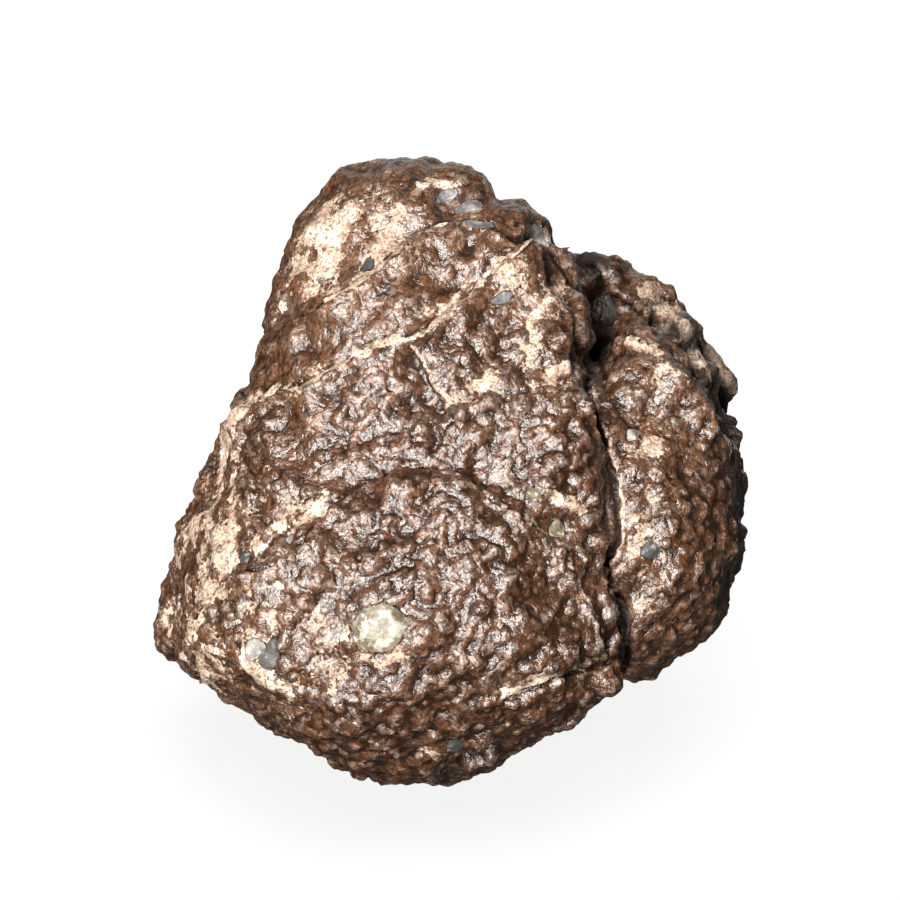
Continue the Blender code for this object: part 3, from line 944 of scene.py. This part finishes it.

# %% [markdown]
# ## Pale tops and painted shade in the creases
#
# Sand has rubbed the highest tops pale, in specks, and the pale also stands in
# for sheen, as a painted highlight. The creases are painted near black as
# shade. Both follow the crevices measured on the mesh. The joints between the
# knobs get painted shade as well; they are too fine for the crevices and come
# from the knobs' own pattern.

# %% Pale tops with painted sheen, and painted shade in the creases
crevice_depth = paint.value("crevice")
tops = crevice_depth.between(-0.02, -0.15)
# Pale specks on the tops: partly wear, partly a painted sheen.
wear_and_sheen = paint.grain(2.2, 4.0, 0.65, 6.7).between(0.42, 0.56) * tops
speckle = paint.grain(0.34, 2.0, 0.60, 8.1).between(0.46, 0.56)
varnish = paint.mix(varnish, PALE_TOP_COLOUR, wear_and_sheen * speckle * 0.55)
# Painted shade: the creases and the joints between the knobs are darkened where shadow falls.
creases = crevice_depth.between(0.02, 0.13)
joints = knobs.between(0.72, 0.52)
varnish = paint.mix(varnish, BLACK_VARNISH_AND_SHADE, creases * 0.94)
varnish = paint.mix(varnish, BLACK_VARNISH_AND_SHADE, joints * 0.50)
print("wear added:", len(paint.tree.nodes), "nodes")

# %% [markdown]
# ## The crust's colours
#
# The lime is cream, whiter where it is clean, and pink or tan where varnish
# has washed into it, with dark specks of stone in it. Noise roughens the
# cover kept on the mesh, because the mesh alone would draw too smooth an
# edge. A thin film of dust lies round it.

# %% Crust and dust
CRUST_CREAM = (0.520, 0.395, 0.295)
CRUST_PINK = (0.380, 0.240, 0.165)
CRUST_WHITE = (0.760, 0.650, 0.540)
CRUST_TAN = (0.270, 0.175, 0.110)
CRUST_SPECK = (0.070, 0.036, 0.020)
DUST = (0.300, 0.185, 0.120)
EDGE_ROUGHNESS = 0.42  # mm

crust_colour = paint.mix(CRUST_CREAM, CRUST_PINK, paint.grain(1.6, 3.0, 0.6, 1.7).between(0.52, 0.72))
crust_colour = paint.mix(crust_colour, CRUST_WHITE, paint.grain(2.4, 2.0, 0.5, 2.3).between(0.50, 0.66))
shaded = paint.grain(0.75, 4.0, 0.7, 3.9).between(0.46, 0.62)
crust_colour = paint.mix(crust_colour, CRUST_TAN, shaded * 0.7)
specks = paint.grain(0.42, 3.0, 0.65, 3.1).between(0.54, 0.64)
crust_colour = paint.mix(crust_colour, CRUST_SPECK, specks * 0.85)

cover_depth = paint.value("crust") + (paint.grain(0.45, 3.0, 0.65, 4.2) - 0.5) * EDGE_ROUGHNESS
crust_mask = cover_depth.between(-0.01, 0.06)
film = cover_depth.between(-0.14, 0.03) * 0.4
colour = paint.mix(varnish, DUST, film * tiny.between(0.46, 0.58))
colour = paint.mix(colour, crust_colour, crust_mask)
print("crust added:", len(paint.tree.nodes), "nodes")

# %% [markdown]
# ## The inclusions' colours
#
# The large inclusion is banded in olive and pale grey-green, the dark ones are
# blue-black with grey veins, and the facets by the head are slate. Each tint
# has a value of its own on the mesh, above 0 inside. It makes the mask, and a
# little noise keeps the edge from being a perfect oval.

# %% Inclusion colours
INCLUSION_GREEN = (0.150, 0.132, 0.082)
INCLUSION_OLIVE = (0.085, 0.065, 0.030)
INCLUSION_LIGHT = (0.310, 0.310, 0.250)
INCLUSION_DARK = (0.042, 0.044, 0.043)
INCLUSION_GREY = (0.200, 0.198, 0.182)
INCLUSION_SLATE = (0.100, 0.102, 0.108)
FACET_WHITE = (0.370, 0.355, 0.330)

green = paint.mix(INCLUSION_GREEN, INCLUSION_OLIVE, paint.grain(2.4, 3.0, 0.6, 5.5).between(0.46, 0.54))
green = paint.mix(green, INCLUSION_LIGHT, paint.grain(1.3, 3.0, 0.6, 6.1).between(0.51, 0.57))
dark = paint.mix(INCLUSION_DARK, INCLUSION_GREY, paint.grain(0.9, 2.0, 0.5, 7.7).between(0.58, 0.70))
grey = paint.mix(INCLUSION_GREY, FACET_WHITE, paint.grain(0.8, 2.0, 0.5, 8.3).between(0.46, 0.66))
slate = paint.mix(INCLUSION_SLATE, INCLUSION_GREY, paint.grain(0.7, 3.0, 0.6, 8.9).between(0.50, 0.66))
inclusion_mask = 0.0
for tint, tinted in zip(TINTS, (green, dark, grey, slate)):
    mask = (paint.value(tint + "_inclusion") + (tiny - 0.5) * 0.25).between(-0.03, 0.07)
    colour = paint.mix(colour, tinted, mask)
    inclusion_mask = mask + inclusion_mask
print("inclusions added:", len(paint.tree.nodes), "nodes")

# %% Grit, and painted shade in the deep places
GRIT_DARK = (0.034, 0.013, 0.005)
GAP_PAINTED_SHADE = (0.012, 0.005, 0.002)

grit = paint.grain(0.30, 3.0, 0.75, 7.1)
colour = paint.mix(colour, GRIT_DARK, grit.between(0.51, 0.59) * (0.66 - inclusion_mask * 0.35))
# Painted shade: the deep places are darkened to near black, as no light reaches them.
unlit = paint.value("deep")
colour = paint.mix(colour, GAP_PAINTED_SHADE, unlit * 0.88)
paint.feed(paint.shader.inputs["Base Color"], colour)
print("the colour is done:", len(paint.tree.nodes), "nodes")

# %% [markdown]
# ## Gloss and the finest grain
#
# The glints are what make the stone look polished. Each is a tiny patch of
# varnish that happens to face halfway between the lamp and the eye. Grains
# too fine for the mesh therefore go in a Bump node, and the gloss itself
# varies from patch to patch. The crust scatters light and has no glints, and
# the inclusions and the deep places are duller than the varnish.

# %% Gloss
GLOSS = 0.20  # roughness of the best polished varnish
CRUST_ROUGHNESS = 0.80
VARNISH_IOR = 1.70
VARNISH_SPECULAR = 0.56

polish = 1.0 - leathery
gloss = GLOSS - polish * 0.02 + patchy.between(0.35, 0.7) * 0.10 + grit.between(0.42, 0.60) * 0.07
gloss = gloss + inclusion_mask * 0.28
roughness = gloss * (1.0 - crust_mask) + crust_mask * CRUST_ROUGHNESS + unlit * 0.4
paint.feed(paint.shader.inputs["Roughness"], roughness)
paint.shader.inputs["IOR"].default_value = VARNISH_IOR
paint.shader.inputs["Specular IOR Level"].default_value = VARNISH_SPECULAR
print("gloss added:", len(paint.tree.nodes), "nodes")

# %% Bump
BUMP_HEIGHT = 0.28  # mm

pebbly = paint.grain(0.48, 3.0, 0.55, 9.1)
bump_shape = (knobs * 0.52 + pebbly * 0.48 + grit * 0.26) * (1.0 - inclusion_mask * 0.6)
inputs = {"Strength": 1.0, "Distance": BUMP_HEIGHT * MM, "Height": bump_shape}
bump = paint.node("ShaderNodeBump", None, inputs)
paint.feed(paint.shader.inputs["Normal"], bump)
print("the finish has", len(paint.tree.nodes), "nodes")

# %% [markdown]
# ## The skin takes the solid's place
#
# The solid stays in the frame, for the stone's weight and for what it bumps
# into, but it isn't shown. The skin rides on the same body and stands for it.

# %% Put the finish on
skin.data.materials.append(paint.material)
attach(skin, "root")
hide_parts("stone")
print(skin.name, "stands for the stone")

# %% [markdown]
# ## The floor
#
# The stone stands on a plain white floor that fills the picture. Lit only by
# lamps it would be grey in the corners, so it glows a little by itself. The
# stone's reflections and bounce light leave it out, because a glowing floor
# would wash out the dark underside.

# %% Floor
FLOOR_SIDE = 12.0  # m
FLOOR_GREY = 0.35
FLOOR_GLOW = 0.88

bpy.ops.mesh.primitive_plane_add(size=FLOOR_SIDE, location=(0.0, 0.0, 0.0))
floor = bpy.context.object
floor.name = "floor"
floor_paint = Paint("pale_floor")
floor_paint.shader.inputs["Base Color"].default_value = (FLOOR_GREY, FLOOR_GREY, FLOOR_GREY, 1.0)
floor_paint.shader.inputs["Emission Color"].default_value = (1.0, 1.0, 1.0, 1.0)
floor_paint.shader.inputs["Emission Strength"].default_value = FLOOR_GLOW
floor_paint.shader.inputs["Roughness"].default_value = 0.9
floor_paint.shader.inputs["Specular IOR Level"].default_value = 0.0
floor.data.materials.append(floor_paint.material)
floor.visible_diffuse = False
floor.visible_glossy = False
print("floor:", FLOOR_SIDE, "m square")

# %% [markdown]
# ## The lamps
#
# One lamp near the viewer, up and to the left, draws the glints and the
# shadows under the ledges. A weaker one low in front opens up the belly. Two
# wide lamps light the back. The stronger of them leaves no reflection, which
# would give the head a pale rim. The lamp overhead lights only the floor, and
# the others light only the stone. With lamps for both, either the floor turns
# grey or the stone turns pale.

# %% Lamps
WARM = (1.0, 0.94, 0.90)
NEARLY_WHITE = (1.0, 0.96, 0.93)


def add_lamp(name, azimuth, elevation, distance, size, power, colour=(1.0, 1.0, 1.0)):
    """A square lamp that looks at the stone. Azimuth 0 is the viewer's side, and it grows to the right."""
    data = bpy.data.lights.new(name, "AREA")
    data.size = size
    data.energy = power
    data.color = colour
    lamp = bpy.data.objects.new(name, data)
    turn, climb = math.radians(azimuth), math.radians(elevation)
    level = math.cos(climb)
    away = Vector((math.sin(turn) * level, -math.cos(turn) * level, math.sin(climb)))
    lamp.location = Vector(VIEW_TARGET) * MM + away * distance
    lamp.rotation_euler = away.to_track_quat("Z", "Y").to_euler()
    bpy.context.scene.collection.objects.link(lamp)
    return lamp


key = add_lamp("key", -17, 38, 0.75, 0.23, 13.0, WARM)
low_front = add_lamp("low_front", -14, 6, 0.9, 0.26, 8.6, WARM)
overhead = add_lamp("overhead", 0, 68, 1.2, 1.0, 9.0)
behind = add_lamp("behind", 172, 8, 1.2, 0.9, 2.0, NEARLY_WHITE)
behind_soft = add_lamp("behind_soft", 176, 14, 1.2, 0.9, 9.0, NEARLY_WHITE)
behind_soft.visible_glossy = False
print("lamps:", [lamp.name for lamp in bpy.data.lights])

# %% What each lamp lights
stone_only = bpy.data.collections.new("stone_only")
stone_only.objects.link(skin)
floor_only = bpy.data.collections.new("floor_only")
floor_only.objects.link(floor)
for lamp in (key, low_front, behind, behind_soft):
    lamp.light_linking.receiver_collection = stone_only
overhead.light_linking.receiver_collection = floor_only
print("the lamp overhead lights the floor, and the others light the stone")

# %% The room's own light
ROOM_LIGHT = 0.06

world = bpy.data.worlds.new("studio")
world.use_nodes = True
background = world.node_tree.nodes["Background"]
background.inputs["Color"].default_value = (1.0, 1.0, 1.0, 1.0)
background.inputs["Strength"].default_value = ROOM_LIGHT
bpy.context.scene.world = world
print("room light:", ROOM_LIGHT)
